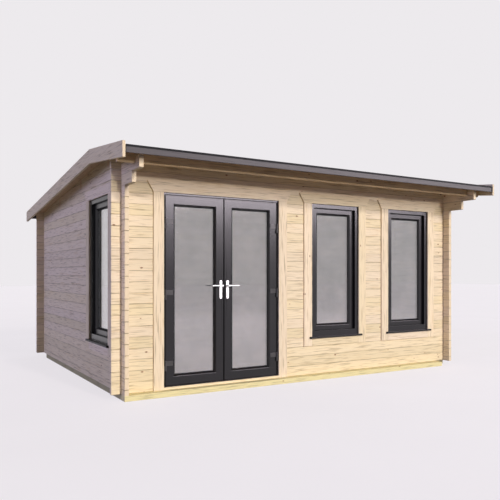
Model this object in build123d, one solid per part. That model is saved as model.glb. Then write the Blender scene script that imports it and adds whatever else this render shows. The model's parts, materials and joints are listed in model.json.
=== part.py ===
"""Garden office log cabin.

A one-room cabin of interlocking 44 mm logs under a shallow two-slope roof. The front has a pair of
outward opening glazed doors and two tall windows, the left side has one tall window, and the right and
back walls are plain. Log walls that cross lock into each other by notches, and the side walls' top logs
step forward as consoles that carry the front purlin.

Millimetres, +X right along the front, +Y to the back, +Z up, with the origin on the ground under the
middle of the roof.
"""
from build123d import *
import os
from math import radians, tan

# Logs
LOG_HEIGHT = 114.0
LOG_THICKNESS = 44.0
LOG_END = 105.0
GROOVE_DEPTH = 4.0
GROOVE_HALF = 3.0
END_GROOVE_DEPTH = 8.0
END_GROOVE_HALF = 5.0
LEAST_LOG = 20.0
NOTCH_PLAY = 0.2

# Walls, measured over their outer faces
WALL_WIDTH = 4750.0
WALL_DEPTH = 3780.0

# Base
BEARER_HEIGHT = 58.0
BEARER_WIDTH = 149.0
FRONT_BEARER_STOP = 184.0
SIDE_BEARER_STOP = 230.0
JOIST_WIDTH = 44.0
JOIST_COUNT = 8
FLOOR_THICKNESS = 19.0
FLOOR_GAP = 5.0
BUTT_GAP = 1.0

# Roof form
PURLIN_COURSES = 20
PURLIN_HEIGHT = 118.0
RIDGE_SETBACK = 440.0
FRONT_PITCH = 6.0
REAR_PITCH = 5.4
FRONT_OVERHANG = 650.0
REAR_OVERHANG = 250.0
SIDE_OVERHANG = 205.0
REAR_PURLIN_COUNT = 2

# Roof covering and edges
ROOF_BOARD = 19.0
MEMBRANE = 5.0
MEMBRANE_LIP = 17.0
LIP_THICKNESS = 3.0
FASCIA_THICKNESS = 19.0
FASCIA_HEIGHT = 56.0
BARGE_THICKNESS = 28.0
BARGE_HEIGHT = 150.0
BARGE_RISE = 30.0

# Consoles, as how far each log runs forward of the front wall
LOWER_CONSOLE = 315.0
UPPER_CONSOLE = 520.0

# Openings in the logs
OPENING_HEAD = 2158.0
DOOR_FROM_LEFT = 436.0
DOOR_OPENING = 1484.0
WINDOW_OPENING = 782.0
SILL_COURSES = 4
FIRST_WINDOW_FROM_LEFT = 2364.0
SECOND_WINDOW_FROM_LEFT = 3615.0
WINDOW_TO_RIGHT = 353.0
SIDE_WINDOW_FROM_FRONT = 370.0
FRAME_PLAY = 2.0

# Timber trims around the openings
TRIM_WIDTH = 116.0
TRIM_THICKNESS = 20.0
TRIM_COVER = 20.0
TRIM_SPLAY = 70.0
TRIM_JOINT = 1.0
TRIM_FOOT = 92.0

# Doors
FRAME_DEPTH = 80.0
DOOR_FRAME = 38.0
DOOR_THRESHOLD = 35.0
DOOR_STOP = 14.0
LEAF_THICKNESS = 60.0
LEAF_GAP = 5.0
MEETING_GAP = 13.0
LEAF_STILE = 92.0

# Glazing, in doors and windows alike
GLASS_THICKNESS = 20.0
GLASS_EDGE = 12.0
GLASS_PLAY = 0.3
BEAD = 18.0
DOOR_GLASS_SETBACK = 28.0
SASH_GLASS_SETBACK = 24.0

# Windows
WINDOW_FRAME = 68.0
SASH_FACE = 58.0
SASH_SETBACK = 34.0
SASH_DEPTH = 54.0
SASH_PLAY = 0.3
SILL_THICKNESS = 20.0
SILL_REACH = 48.0
SILL_EAR = 35.0

# Door hinges
HINGE_KNUCKLE = 18.0
HINGE_HEIGHT = 95.0
HINGE_FLAG = 84.0
HINGE_FLAG_HEIGHT = 52.0
HINGE_PLATE = 3.0
HINGE_PIN = 8.0
HINGE_BORE = 9.0
HINGE_SPLIT = 0.5
HINGE_HEIGHTS = (310.0, 1060.0, 1812.0)

# Door furniture
LEVER_HEIGHT = 1150.0
LEVER_INSET = 36.0
LEVER_LENGTH = 128.0
LEVER_DIAMETER = 16.0
LEVER_STANDOFF = 50.0
LEVER_TIP = 2.0
NECK_DIAMETER = 18.0
SPINDLE_DIAMETER = 10.0
SPINDLE_HOLE = 14.0
NECK_HOLE = 19.0
NECK_RECESS = 4.0
PLATE_WIDTH = 30.0
PLATE_HEIGHT = 206.0
PLATE_ABOVE = 59.0
PLATE_THICKNESS = 8.0

# Planes that everything is set from
ROOF_DEPTH = FRONT_OVERHANG + WALL_DEPTH + REAR_OVERHANG
EAVES_FRONT = -ROOF_DEPTH / 2
EAVES_REAR = ROOF_DEPTH / 2
FRONT = EAVES_FRONT + FRONT_OVERHANG
BACK = FRONT + WALL_DEPTH
LEFT = -WALL_WIDTH / 2
RIGHT = WALL_WIDTH / 2
FRONT_INNER = FRONT + LOG_THICKNESS
BACK_INNER = BACK - LOG_THICKNESS
LEFT_INNER = LEFT + LOG_THICKNESS
RIGHT_INNER = RIGHT - LOG_THICKNESS
RIDGE = FRONT + RIDGE_SETBACK
BARGE_INNER = WALL_WIDTH / 2 + SIDE_OVERHANG - BARGE_THICKNESS
BARGE_OUTER = WALL_WIDTH / 2 + SIDE_OVERHANG

# Log courses: the side walls' joints lie half a log above the front and back walls' joints
BASE = BEARER_HEIGHT
HALF_LOG = LOG_HEIGHT / 2
PURLIN_BOTTOM = BASE + PURLIN_COURSES * LOG_HEIGHT
UPPER_CONSOLE_BOTTOM = PURLIN_BOTTOM - HALF_LOG
LOWER_CONSOLE_BOTTOM = UPPER_CONSOLE_BOTTOM - LOG_HEIGHT
PURLIN_FRONT = FRONT - UPPER_CONSOLE + LOG_END
SILL = BASE + SILL_COURSES * LOG_HEIGHT

# The wall beside and between the front's openings keeps its proportions when the wall's width changes
DOOR_PIER = FIRST_WINDOW_FROM_LEFT - DOOR_FROM_LEFT - DOOR_OPENING
WINDOW_PIER = SECOND_WINDOW_FROM_LEFT - FIRST_WINDOW_FROM_LEFT - WINDOW_OPENING
MEASURED_WALL = DOOR_FROM_LEFT + DOOR_PIER + WINDOW_PIER + WINDOW_TO_RIGHT
SHARE = (WALL_WIDTH - DOOR_OPENING - 2 * WINDOW_OPENING) / MEASURED_WALL

DOOR_LEFT = LEFT + SHARE * DOOR_FROM_LEFT
DOOR_RIGHT = DOOR_LEFT + DOOR_OPENING
DOOR_MIDDLE = (DOOR_LEFT + DOOR_RIGHT) / 2
FIRST_WINDOW = DOOR_RIGHT + SHARE * DOOR_PIER
SECOND_WINDOW = FIRST_WINDOW + WINDOW_OPENING + SHARE * WINDOW_PIER
WINDOW_STARTS = (FIRST_WINDOW, SECOND_WINDOW)
SIDE_WINDOW_START = FRONT + SIDE_WINDOW_FROM_FRONT


def under_roof(y):
    """Height of the roof boards' underside."""
    front_slope = tan(radians(FRONT_PITCH))
    ridge_height = PURLIN_BOTTOM + PURLIN_HEIGHT + (RIDGE - PURLIN_FRONT) * front_slope
    if y <= RIDGE:
        return ridge_height - (RIDGE - y) * front_slope
    return ridge_height - (y - RIDGE) * tan(radians(REAR_PITCH))


def block(x0, x1, y0, y1, z0, z1):
    """A box between its six planes."""
    size = Box(x1 - x0, y1 - y0, z1 - z0, align=(Align.MIN, Align.MIN, Align.MIN))
    return Pos(x0, y0, z0) * size


def along_x(points, x0, x1):
    """A prism along X from points in Y and Z."""
    face = make_face(Polyline(*points, close=True))
    return extrude(Plane.YZ.offset(x0) * face, x1 - x0)


def along_y(points, y0, y1):
    """A prism along Y from points in X and Z."""
    face = make_face(Polyline(*points, close=True))
    return extrude(Plane.XZ.offset(-y0) * face, y0 - y1)


def rod_x(diameter, x0, x1, y, z):
    """A round bar along X."""
    return Pos((x0 + x1) / 2, y, z) * Rot(0, 90, 0) * Cylinder(diameter / 2, abs(x1 - x0))


def rod_y(diameter, x, y0, y1, z):
    """A round bar along Y."""
    return Pos(x, (y0 + y1) / 2, z) * Rot(90, 0, 0) * Cylinder(diameter / 2, abs(y1 - y0))


def rod_z(diameter, x, y, z0, z1):
    """A round bar along Z."""
    return Pos(x, y, (z0 + z1) / 2) * Cylinder(diameter / 2, abs(z1 - z0))


def mirror_right(solid):
    """The same piece on the right side of the cabin."""
    return mirror(solid, about=Plane.YZ)


# Log walls

def joints(first, bottom, top):
    """Heights of the log joints between bottom and top, for courses that start at first."""
    count = int((top - first) / LOG_HEIGHT) + 1
    heights = [first + n * LOG_HEIGHT for n in range(count + 1)]
    return [z for z in heights if bottom + LEAST_LOG < z < top - LEAST_LOG]


def grooved_face(face, inward, first, bottom, top, depth=GROOVE_DEPTH, half=GROOVE_HALF):
    """Points up one face of a log wall, with a V groove at each joint and half of one at an end joint."""
    def is_joint(z):
        courses = (z - first) / LOG_HEIGHT
        return abs(courses - round(courses)) < 0.001

    deep = face + inward * depth
    points = [(deep, bottom), (face, bottom + half)] if is_joint(bottom) else [(face, bottom)]
    for z in joints(first, bottom, top):
        points += [(face, z - half), (deep, z), (face, z + half)]
    points += [(face, top - half), (deep, top)] if is_joint(top) else [(face, top)]
    return points


def grooved_end(end, inward, first, bottom, top):
    """Points up the ends of stacked logs, which are notched deeper at each joint than their faces."""
    return grooved_face(end, inward, first, bottom, top, END_GROOVE_DEPTH, END_GROOVE_HALF)


def log_section(outer, inner, first, bottom, top_outer, top_inner):
    """Section across a log wall, whose joints are grooved outside and close flush inside."""
    inward = 1 if inner > outer else -1
    return grooved_face(outer, inward, first, bottom, top_outer) + [(inner, top_inner), (inner, bottom)]


def neck_slots(x0, x1, y0, y1, first, bottom, top):
    """Boxes where the crossing wall's log necks pass, for courses that start at first."""
    slots = []
    course = -1
    while first + course * LOG_HEIGHT < top:
        low = first + course * LOG_HEIGHT + LOG_HEIGHT / 4 - NOTCH_PLAY
        high = low + HALF_LOG + 2 * NOTCH_PLAY
        if high > bottom:
            slots.append(block(x0, x1, y0, y1, low, high))
        course += 1
    return slots


def crossing_in_side_wall(y0, y1, bottom, top):
    """Cuts in both side walls for the necks of a front course that crosses them."""
    outside = WALL_WIDTH / 2 + LOG_END
    inside = WALL_WIDTH / 2 - LOG_THICKNESS - LOG_END
    low, high = y0 - NOTCH_PLAY, y1 + NOTCH_PLAY
    left = neck_slots(-outside, -inside, low, high, BASE, bottom, top)
    right = neck_slots(inside, outside, low, high, BASE, bottom, top)
    return left, right


def crossing_in_front_course(y0, y1, bottom, top):
    """Cuts at both ends of a front course for the necks of the side walls that cross it."""
    near, far = y0 - LOG_END, y1 + LOG_END
    first = BASE + HALF_LOG
    left = neck_slots(LEFT - NOTCH_PLAY, LEFT_INNER + NOTCH_PLAY, near, far, first, bottom, top)
    right = neck_slots(RIGHT_INNER - NOTCH_PLAY, RIGHT + NOTCH_PLAY, near, far, first, bottom, top)
    return left + right


def front_course(x0, x1, bottom, top=None):
    """Logs of the front wall between two planes, up to top or to the roof."""
    if top is None:
        section = log_section(FRONT, FRONT_INNER, BASE, bottom, under_roof(FRONT), under_roof(FRONT_INNER))
        top = under_roof(FRONT_INNER)
    else:
        section = log_section(FRONT, FRONT_INNER, BASE, bottom, top, top)
    return notched_ends(along_x(section, x0, x1), x0, x1, FRONT, FRONT_INNER, bottom, top)


def notched_ends(logs, x0, x1, y0, y1, bottom, top):
    """Front or back logs, notched at each joint where they end outside the side walls."""
    far_left, far_right = LEFT - LOG_END, RIGHT + LOG_END
    left = grooved_end(x0, 1, BASE, bottom, top) if x0 == far_left else [(x0, bottom), (x0, top)]
    right = grooved_end(x1, -1, BASE, bottom, top) if x1 == far_right else [(x1, bottom), (x1, top)]
    return logs & along_y(left + right[::-1], y0, y1)


def front_wall():
    """The front wall, split beside, under and over its openings, each log course at its true height."""
    header_bottom = joints(BASE, BASE, OPENING_HEAD)[-1]
    far_left = LEFT - LOG_END
    far_right = RIGHT + LOG_END
    first, second = WINDOW_STARTS
    header = front_course(far_left, far_right, header_bottom)
    for start, width in ((DOOR_LEFT, DOOR_OPENING), (first, WINDOW_OPENING), (second, WINDOW_OPENING)):
        header -= block(start, start + width, FRONT - 1, FRONT_INNER + 1, header_bottom - 1, OPENING_HEAD)
    pieces = {
        "front_wall_header": header,
        "front_wall_left": front_course(far_left, DOOR_LEFT, BASE, header_bottom),
        "front_wall_below_windows": front_course(DOOR_RIGHT, far_right, BASE, SILL),
        "front_wall_door_pier": front_course(DOOR_RIGHT, first, SILL, header_bottom),
        "front_wall_window_pier": front_course(first + WINDOW_OPENING, second, SILL, header_bottom),
        "front_wall_right": front_course(second + WINDOW_OPENING, far_right, SILL, header_bottom),
    }
    slots = crossing_in_front_course(FRONT, FRONT_INNER, BASE, under_roof(FRONT_INNER))
    for name in ("front_wall_header", "front_wall_left", "front_wall_below_windows", "front_wall_right"):
        pieces[name] = pieces[name] - slots
    return pieces


def back_wall():
    """The plain back wall, its top log bevelled to the roof."""
    section = log_section(BACK, BACK_INNER, BASE, BASE, under_roof(BACK), under_roof(BACK_INNER))
    far_left, far_right = LEFT - LOG_END, RIGHT + LOG_END
    top = under_roof(BACK_INNER)
    wall = along_x(section, far_left, far_right)
    wall = notched_ends(wall, far_left, far_right, BACK_INNER, BACK, BASE, top)
    return wall - crossing_in_front_course(BACK_INNER, BACK, BASE, top)


def side_outline():
    """Elevation of a side wall, with its consoles in front and its top cut to both slopes."""
    front_end = FRONT - LOG_END
    back_end = BACK + LOG_END
    first = BASE + HALF_LOG
    consoles = (
        (front_end, BASE, LOWER_CONSOLE_BOTTOM),
        (FRONT - LOWER_CONSOLE, LOWER_CONSOLE_BOTTOM, UPPER_CONSOLE_BOTTOM),
        (FRONT - UPPER_CONSOLE, UPPER_CONSOLE_BOTTOM, under_roof(FRONT - UPPER_CONSOLE)),
    )
    outline = []
    for end, bottom, top in consoles:
        outline += grooved_end(end, 1, first, bottom, top)
    outline.append((RIDGE, under_roof(RIDGE)))
    return outline + grooved_end(back_end, -1, first, BASE, under_roof(back_end))[::-1]


def left_side_wall():
    """A plain left side wall with every notch and purlin pocket, before its window is cut."""
    top = under_roof(RIDGE) + LOG_HEIGHT
    section = log_section(LEFT, LEFT_INNER, BASE + HALF_LOG, BASE, top, top)
    logs = along_y(section, FRONT - UPPER_CONSOLE, BACK + LOG_END)
    wall = logs & along_x(side_outline(), LEFT, LEFT_INNER)
    cuts = []
    for y0, y1, bottom in (
        (FRONT, FRONT_INNER, BASE),
        (BACK_INNER, BACK, BASE),
        (PURLIN_FRONT, PURLIN_FRONT + LOG_THICKNESS, PURLIN_BOTTOM),
    ):
        cuts += crossing_in_side_wall(y0, y1, bottom, under_roof(y1))[0]
    for y in purlin_places():
        section = purlin_section(y, NOTCH_PLAY)
        cuts.append(along_x(section, LEFT - 1, LEFT_INNER + 1))
    return wall - cuts


# Roof

def purlin_places():
    """Middle of the ridge purlin and of the purlins behind it."""
    bay = (BACK - RIDGE) / (REAR_PURLIN_COUNT + 1)
    return [RIDGE + n * bay for n in range(REAR_PURLIN_COUNT + 1)]


def purlin_section(y, play=0.0):
    """Section of a roof purlin, its top planed to the boards that lie on it."""
    front, rear = y - LOG_THICKNESS / 2 - play, y + LOG_THICKNESS / 2 + play
    bottom = under_roof(y) - PURLIN_HEIGHT - play
    top = [(front, under_roof(front) + play), (rear, under_roof(rear) + play)]
    if front < RIDGE < rear:
        top.insert(1, (RIDGE, under_roof(RIDGE) + play))
    return [(front, bottom), *top, (rear, bottom)]


def roof_purlins():
    """The ridge purlin and the purlins behind it, which end flush with the gables' faces."""
    return [along_x(purlin_section(y), LEFT, RIGHT) for y in purlin_places()]


def front_purlin():
    """The log on the consoles that carries the boards over the front overhang."""
    rear = PURLIN_FRONT + LOG_THICKNESS
    section = [
        (PURLIN_FRONT, PURLIN_BOTTOM + GROOVE_HALF),
        (PURLIN_FRONT, under_roof(PURLIN_FRONT)),
        (rear, under_roof(rear)),
        (rear, PURLIN_BOTTOM + GROOVE_HALF),
        (rear - GROOVE_DEPTH, PURLIN_BOTTOM),
        (PURLIN_FRONT + GROOVE_DEPTH, PURLIN_BOTTOM),
    ]
    purlin = along_x(section, -BARGE_INNER, BARGE_INNER)
    return purlin - crossing_in_front_course(PURLIN_FRONT, rear, PURLIN_BOTTOM, under_roof(rear))


def sloped_board(y0, y1, low, high):
    """Elevation of a board that follows the roof between two planes and two heights over its underside."""
    edge = [(y0, under_roof(y0) + low), (y1, under_roof(y1) + low)]
    return edge + [(y1, under_roof(y1) + high), (y0, under_roof(y0) + high)]


def roof_boards():
    """Boarding of the front and rear slopes, which meet plumb at the ridge."""
    front = sloped_board(EAVES_FRONT + FASCIA_THICKNESS + LIP_THICKNESS, RIDGE, 0, ROOF_BOARD)
    rear = sloped_board(RIDGE, EAVES_REAR - FASCIA_THICKNESS - LIP_THICKNESS, 0, ROOF_BOARD)
    return (
        along_x(front, -BARGE_INNER, BARGE_INNER),
        along_x(rear, -BARGE_INNER, BARGE_INNER),
    )


def membrane():
    """One sheet over both slopes, turned down over the top of each fascia."""
    low, high = ROOF_BOARD, ROOF_BOARD + MEMBRANE
    front_lip = EAVES_FRONT + LIP_THICKNESS
    rear_lip = EAVES_REAR - LIP_THICKNESS
    section = [
        (EAVES_FRONT, under_roof(EAVES_FRONT) + high),
        (RIDGE, under_roof(RIDGE) + high),
        (EAVES_REAR, under_roof(EAVES_REAR) + high),
        (EAVES_REAR, under_roof(EAVES_REAR) + high - MEMBRANE_LIP),
        (rear_lip, under_roof(EAVES_REAR) + high - MEMBRANE_LIP),
        (rear_lip, under_roof(rear_lip) + low),
        (RIDGE, under_roof(RIDGE) + low),
        (front_lip, under_roof(front_lip) + low),
        (front_lip, under_roof(EAVES_FRONT) + high - MEMBRANE_LIP),
        (EAVES_FRONT, under_roof(EAVES_FRONT) + high - MEMBRANE_LIP),
    ]
    return along_x(section, -BARGE_INNER, BARGE_INNER)


def fascia(outer, toward):
    """A fascia board under the turned-down edge, toward 1 for the front and -1 for the rear."""
    near = outer + toward * LIP_THICKNESS
    far = near + toward * FASCIA_THICKNESS
    bottom = under_roof(outer) + ROOF_BOARD + MEMBRANE - MEMBRANE_LIP - FASCIA_HEIGHT
    section = [
        (near, bottom),
        (near, under_roof(near) + ROOF_BOARD),
        (far, under_roof(far) + ROOF_BOARD),
        (far, bottom),
    ]
    return along_x(section, -BARGE_INNER, BARGE_INNER)


def left_bargeboards():
    """The front and rear boards on the left verge, plumb cut where they meet at the ridge."""
    high = ROOF_BOARD + MEMBRANE + BARGE_RISE
    low = high - BARGE_HEIGHT
    joint = BUTT_GAP / 2
    front = sloped_board(EAVES_FRONT, RIDGE - joint, low, high)
    rear = sloped_board(RIDGE + joint, EAVES_REAR, low, high)
    return [along_x(board, -BARGE_OUTER, -BARGE_INNER) for board in (front, rear)]


# Base

def base_pieces():
    """Treated bearers under the walls, joists between them, and the floor."""
    front_face = FRONT - LOG_END
    front_back = front_face + BEARER_WIDTH
    left_end = BACK - SIDE_BEARER_STOP
    side_start = front_back + BUTT_GAP
    rear_front = BACK - BEARER_WIDTH
    left_rear_end = LEFT + BEARER_WIDTH
    front = block(LEFT, RIGHT - FRONT_BEARER_STOP, front_face, front_back, 0, BEARER_HEIGHT)
    left = block(LEFT, left_rear_end, side_start, left_end, 0, BEARER_HEIGHT)
    right = block(RIGHT - BEARER_WIDTH, RIGHT, side_start, left_end, 0, BEARER_HEIGHT)
    rear = block(left_rear_end, RIGHT - BEARER_WIDTH, rear_front, BACK, 0, BEARER_HEIGHT)
    joists = []
    first = left_rear_end
    bay = (RIGHT - BEARER_WIDTH - first) / (JOIST_COUNT + 1)
    joist_back = rear_front - BUTT_GAP
    for n in range(1, JOIST_COUNT + 1):
        middle = first + n * bay
        near, far = middle - JOIST_WIDTH / 2, middle + JOIST_WIDTH / 2
        joists.append(block(near, far, side_start, joist_back, 0, BEARER_HEIGHT))
    floor = block(
        LEFT_INNER + FLOOR_GAP, RIGHT_INNER - FLOOR_GAP,
        FRONT + FRAME_DEPTH + FLOOR_GAP, BACK_INNER - FLOOR_GAP,
        BEARER_HEIGHT, BEARER_HEIGHT + FLOOR_THICKNESS,
    )
    return {
        "front_bearer": front,
        "side_and_rear_bearers": [left, right, rear],
        "floor_joists": joists,
        "floor_boards": floor,
    }


# Glazed frames, drawn in a plane of their own: x across, y into the wall, z up

def glazed_ring(x0, x1, z0, z1, y0, depth, face, setback):
    """A mitred frame with beads that slope to its glass, and the groove that holds the glass."""
    inner = (x0 + face, x1 - face, z0 + face, z1 - face)
    through = (inner[0] + BEAD, inner[1] - BEAD, inner[2] + BEAD, inner[3] - BEAD)
    glass_front = y0 + setback
    glass_back = glass_front + GLASS_THICKNESS
    ring = block(x0, x1, y0, y0 + depth, z0, z1)
    ring -= block(through[0], through[1], y0 - 1, y0 + depth + 1, through[2], through[3])
    ring -= bead_slope(inner, through, y0, glass_front)
    ring -= bead_slope(inner, through, y0 + depth, glass_back)
    edge, play = GLASS_EDGE, GLASS_PLAY
    ring -= block(
        through[0] - edge - play, through[1] + edge + play,
        glass_front - play, glass_back + play,
        through[2] - edge - play, through[3] + edge + play,
    )
    glass = block(
        through[0] - edge, through[1] + edge,
        glass_front, glass_back,
        through[2] - edge, through[3] + edge,
    )
    return ring, glass


def bead_slope(inner, through, y_face, y_glass):
    """The frustum between a frame's inner edge at its face and the glass line behind it."""
    def rectangle(edges, y):
        left, right, bottom, top = edges
        centre = ((left + right) / 2, y, (bottom + top) / 2)
        return Plane(centre, x_dir=(1, 0, 0), z_dir=(0, -1, 0)) * Rectangle(right - left, top - bottom)

    return loft([rectangle(inner, y_face), rectangle(through, y_glass)])


def window_frame(x0, x1):
    """A window's fixed frame, rebated behind for its sash."""
    play = FRAME_PLAY
    left, right, bottom, top = x0 + play, x1 - play, SILL, OPENING_HEAD - play
    face = WINDOW_FRAME - play
    frame = block(left, right, FRONT, FRONT + FRAME_DEPTH, bottom, top)
    opening = (left + face, right - face, bottom + WINDOW_FRAME, top - face)
    frame -= block(opening[0], opening[1], FRONT - 1, FRONT + FRAME_DEPTH + 1, opening[2], opening[3])
    return frame, opening


def window_set(x0):
    """Frame, sash, glass and sill of a window in the front wall's plane, from the opening's left edge."""
    x1 = x0 + WINDOW_OPENING
    frame, opening = window_frame(x0, x1)
    play = SASH_PLAY
    sash_front = FRONT + SASH_SETBACK
    sash, glass = glazed_ring(
        opening[0] + play, opening[1] - play, opening[2] + play, opening[3] - play,
        sash_front, SASH_DEPTH, SASH_FACE, SASH_GLASS_SETBACK,
    )
    ear = SILL_EAR - TRIM_COVER
    sill_top = SILL
    nose = FRONT - SILL_REACH
    section = [
        (nose, sill_top - SILL_THICKNESS),
        (nose, sill_top - GROOVE_HALF),
        (FRONT, sill_top),
        (FRONT, sill_top - SILL_THICKNESS),
    ]
    sill = along_x(section, x0 - ear, x1 + ear)
    return frame, sash, glass, sill


def trim_splay():
    """How far a head board's ends lean out, at most to the joint with the next board on the narrower pier."""
    pier = SHARE * min(DOOR_PIER, WINDOW_PIER)
    between = pier - 2 * (TRIM_WIDTH - TRIM_COVER) - TRIM_JOINT
    return min(TRIM_SPLAY, between / 2)


def trim_boards(x0, x1, bottom, foot, roof):
    """Boards round an opening: two uprights, a head board with splayed ends that keeps its joint under the
    roof at the height given, and a foot board if asked."""
    y0, y1 = FRONT - TRIM_THICKNESS, FRONT
    left, right = x0 + TRIM_COVER, x1 - TRIM_COVER
    head = OPENING_HEAD - TRIM_COVER
    far_left, far_right = left - TRIM_WIDTH, right + TRIM_WIDTH
    boards = [
        block(far_left, left, y0, y1, bottom, head),
        block(right, far_right, y0, y1, bottom, head),
    ]
    head_low = head + TRIM_JOINT
    head_high = min(head + LOG_HEIGHT, roof - TRIM_JOINT)
    lean = trim_splay()
    splay = [
        (far_left, head_low),
        (far_right, head_low),
        (far_right + lean, head_high),
        (far_left - lean, head_high),
    ]
    boards.append(along_y(splay, y0, y1))
    if foot:
        joint = TRIM_JOINT
        boards.append(block(left + joint, right - joint, y0, y1, bottom, SILL - SILL_THICKNESS))
    return boards


def notch_for_sill(boards, x0):
    """Uprights cut round the ends of the sill that reaches past them."""
    ear = SILL_EAR - TRIM_COVER + TRIM_JOINT
    cut = block(
        x0 - ear, x0 + WINDOW_OPENING + ear,
        FRONT - SILL_REACH, FRONT + 1,
        SILL - SILL_THICKNESS, SILL + TRIM_JOINT,
    )
    return [board - cut for board in boards]


def window_trims(x0, roof):
    """Trim boards of one window under a roof at the height given."""
    bottom = SILL - SILL_THICKNESS - TRIM_FOOT
    return notch_for_sill(trim_boards(x0, x0 + WINDOW_OPENING, bottom, True, roof), x0)


def roof_over_side_trims():
    """The lower of the roof's heights over the ends of the side window's head board."""
    reach = TRIM_WIDTH - TRIM_COVER + TRIM_SPLAY
    return min(
        under_roof(SIDE_WINDOW_START - reach),
        under_roof(SIDE_WINDOW_START + WINDOW_OPENING + reach),
    )


def to_left_wall(shapes):
    """Turn pieces drawn at the left end of the front wall's plane into the left wall."""
    turn = Pos(LEFT, SIDE_WINDOW_START + WINDOW_OPENING, 0) * Rot(0, 0, -90) * Pos(0, -FRONT, 0)
    return [turn * shape for shape in shapes]


# Doors

def door_frame():
    """The doors' frame, with a threshold and a stop that the leaves shut near."""
    play = FRAME_PLAY
    left, right, top = DOOR_LEFT + play, DOOR_RIGHT - play, OPENING_HEAD - play
    y0, y1 = FRONT, FRONT + FRAME_DEPTH
    clear = leaf_edges()
    frame = block(left, right, y0, y1, BASE, top)
    stop_face = y0 + LEAF_THICKNESS + LEAF_GAP
    frame -= block(
        clear[0] - LEAF_GAP, clear[3] + LEAF_GAP, y0 - 1, stop_face,
        clear[4] - LEAF_GAP, clear[5] + LEAF_GAP,
    )
    lap = DOOR_STOP - LEAF_GAP
    frame -= block(
        clear[0] + lap, clear[3] - lap, stop_face - 1, y1 + 1,
        clear[4] + lap, clear[5] - lap,
    )
    return frame


def leaf_edges():
    """Left, meeting and right edges of both leaves, then their bottom and top."""
    outer_left = DOOR_LEFT + FRAME_PLAY + DOOR_FRAME + LEAF_GAP
    outer_right = DOOR_RIGHT - FRAME_PLAY - DOOR_FRAME - LEAF_GAP
    bottom = BASE + DOOR_THRESHOLD + LEAF_GAP
    top = OPENING_HEAD - FRAME_PLAY - DOOR_FRAME - LEAF_GAP
    half = MEETING_GAP / 2
    return outer_left, DOOR_MIDDLE - half, DOOR_MIDDLE + half, outer_right, bottom, top


def hinge_axis():
    """Place of the left leaf's hinge axis, just outside the gap between leaf and frame."""
    return leaf_edges()[0] - LEAF_GAP / 2, FRONT - HINGE_PLATE - HINGE_KNUCKLE / 2


def lever_axis():
    """X of the left leaf's lever spindle."""
    return leaf_edges()[1] - LEVER_INSET


def left_leaf():
    """The left leaf and its glass, bored for the lever's spindle."""
    x0, x1, _, _, z0, z1 = leaf_edges()
    leaf, glass = glazed_ring(x0, x1, z0, z1, FRONT, LEAF_THICKNESS, LEAF_STILE, DOOR_GLASS_SETBACK)
    leaf -= rod_y(SPINDLE_HOLE, lever_axis(), FRONT - 1, FRONT + LEAF_THICKNESS + 1, LEVER_HEIGHT)
    return leaf, glass


def left_hinges():
    """The left leaf's hinges: flags with bored knuckles on the leaf, and knuckles with pins on the frame."""
    x, y = hinge_axis()
    plate_front = FRONT - HINGE_PLATE
    leaf_edge = leaf_edges()[0]
    frame_edge = leaf_edge - LEAF_GAP
    trim_edge = DOOR_LEFT + TRIM_COVER
    flags, fixed = [], []
    for middle in HINGE_HEIGHTS:
        low, high = middle - HINGE_HEIGHT / 2, middle + HINGE_HEIGHT / 2
        split = high - HINGE_FLAG_HEIGHT
        flag = rod_z(HINGE_KNUCKLE, x, y, split + HINGE_SPLIT, high)
        flag += block(x, leaf_edge + HINGE_FLAG, plate_front, FRONT, split + HINGE_SPLIT, high)
        flag += block(x, x + HINGE_KNUCKLE / 2, y, FRONT, split + HINGE_SPLIT, high)
        flag -= rod_z(HINGE_BORE, x, y, split - 1, high + 1)
        plate = rod_z(HINGE_KNUCKLE, x, y, low, split)
        plate += block(trim_edge + TRIM_JOINT, frame_edge, plate_front, FRONT, low, split)
        plate += block(x - HINGE_KNUCKLE / 2, x, y, plate_front, low, split)
        plate += rod_z(HINGE_PIN, x, y, split - 1, high)
        flags.append(flag)
        fixed.append(plate)
    return flags, fixed


def backplate(y_leaf, outward):
    """A lever's long plate with rounded ends, on one face of the left leaf."""
    x = lever_axis()
    middle = LEVER_HEIGHT + PLATE_ABOVE - PLATE_HEIGHT / 2
    outline = SlotOverall(PLATE_HEIGHT, PLATE_WIDTH, rotation=90)
    plane = Plane((x, y_leaf, middle), x_dir=(1, 0, 0), z_dir=(0, outward, 0))
    plate = extrude(plane * outline, PLATE_THICKNESS)
    far = y_leaf + outward * (PLATE_THICKNESS + 1)
    return plate - rod_y(NECK_HOLE, x, y_leaf - outward, far, LEVER_HEIGHT)


def left_lever():
    """Both levers of the left leaf and the spindle that joins them."""
    x = lever_axis()
    outside, inside = FRONT, FRONT + LEAF_THICKNESS
    lever = rod_y(SPINDLE_DIAMETER, x, outside - PLATE_THICKNESS, inside + PLATE_THICKNESS, LEVER_HEIGHT)
    for face, outward in ((outside, -1), (inside, 1)):
        grip = face + outward * LEVER_STANDOFF
        neck_start = face + outward * NECK_RECESS
        neck_end = grip + outward * NECK_DIAMETER / 2
        lever += rod_y(NECK_DIAMETER, x, neck_start, neck_end, LEVER_HEIGHT)
        bar = rod_x(LEVER_DIAMETER, x - LEVER_LENGTH, x, grip, LEVER_HEIGHT)
        tip = bar.edges().filter_by(GeomType.CIRCLE).sort_by(Axis.X)[0]
        lever += chamfer(tip, LEVER_TIP)
    return lever


def to_right_leaf(solid):
    """The same piece on the right leaf, mirrored about the doors' meeting line."""
    return mirror(solid, about=Plane.YZ.offset(DOOR_MIDDLE))


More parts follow.
